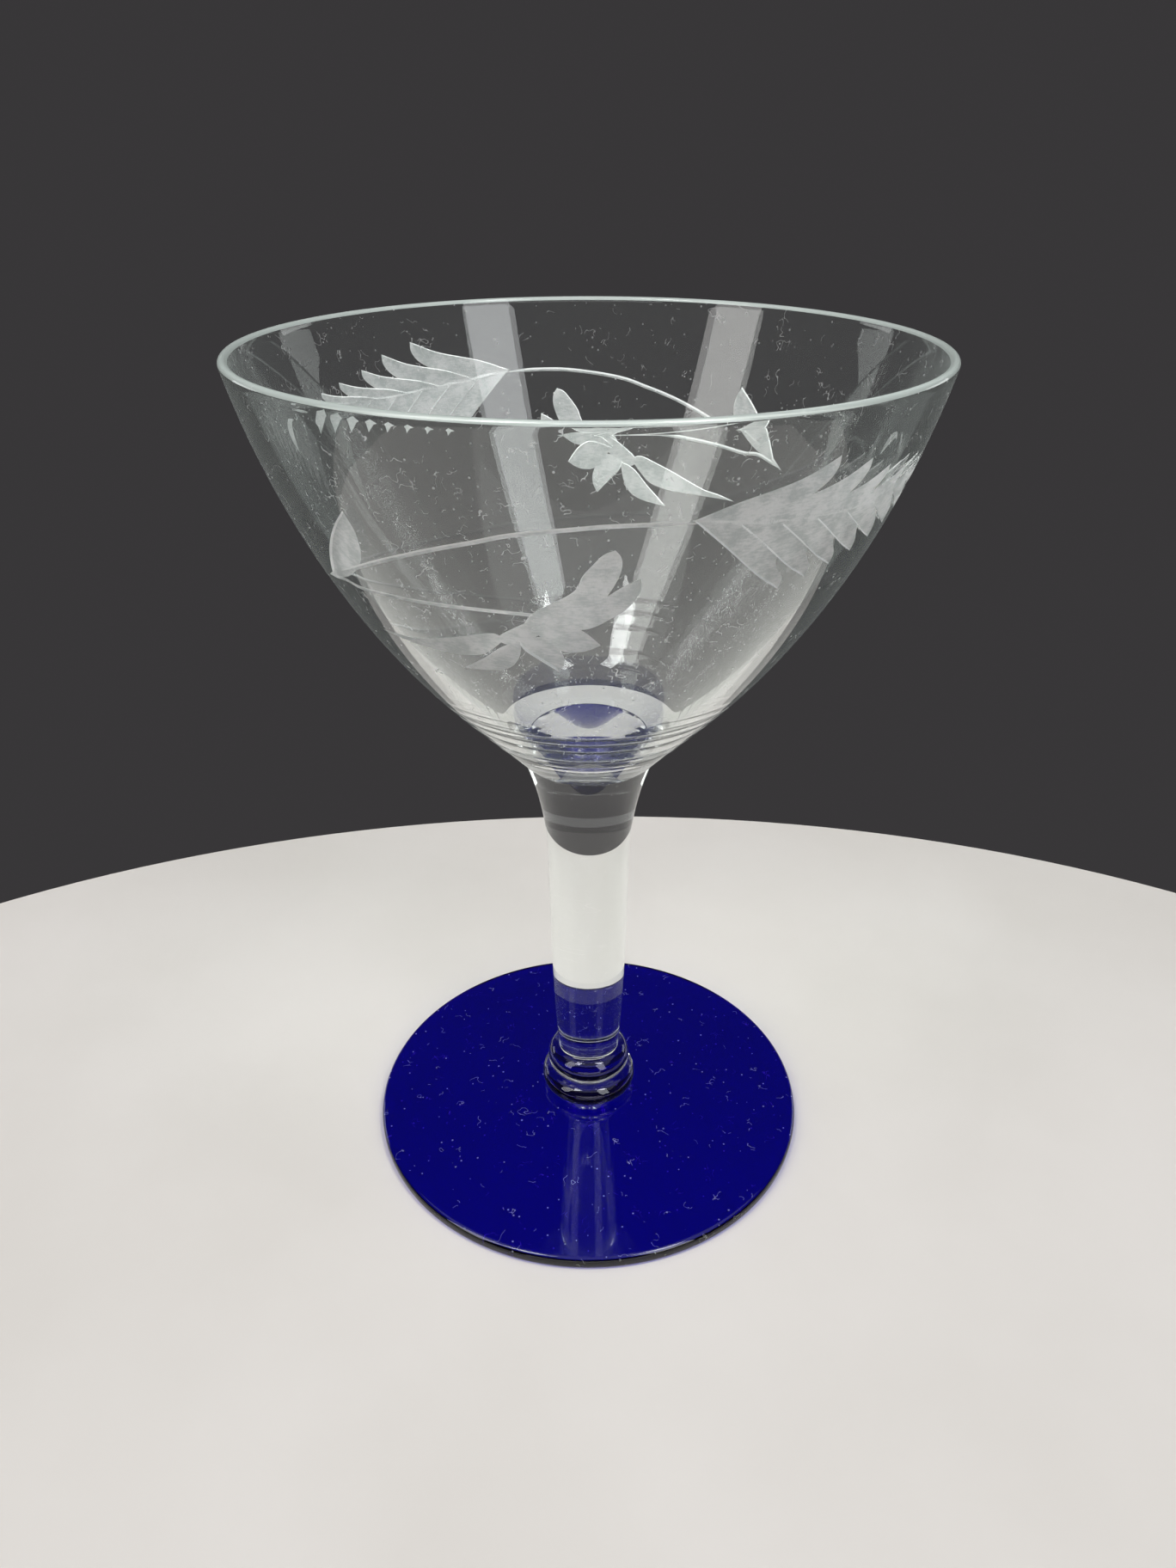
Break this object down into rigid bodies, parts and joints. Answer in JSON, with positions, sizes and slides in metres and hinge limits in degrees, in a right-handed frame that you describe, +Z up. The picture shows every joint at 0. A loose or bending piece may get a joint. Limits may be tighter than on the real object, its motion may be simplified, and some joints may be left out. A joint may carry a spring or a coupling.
{
  "type": "martini glass",
  "caption": "Stemmed cocktail glass with a clear flared bowl, cut leaf sprays, a thick stem, a bead and wafer, and a cobalt blue foot.",
  "frame": {"origin": "centre of the foot's resting plane, on the axis of the glass", "axes": "+Z up along the axis, from the foot to the rim; X and Y are equal for the solids"},
  "size_m": [0.091, 0.091, 0.13],
  "materials": {
    "clear_glass": "clear, fire polished, with matte wheel-cut leaves on the bowl",
    "cobalt_glass": "deep cobalt blue, polished"
  },
  "bodies": {
    "root": {"bowl": "clear_glass", "stem": "clear_glass", "knop": "clear_glass", "wafer": "clear_glass", "foot": "cobalt_glass"}
  },
  "joints": []
}
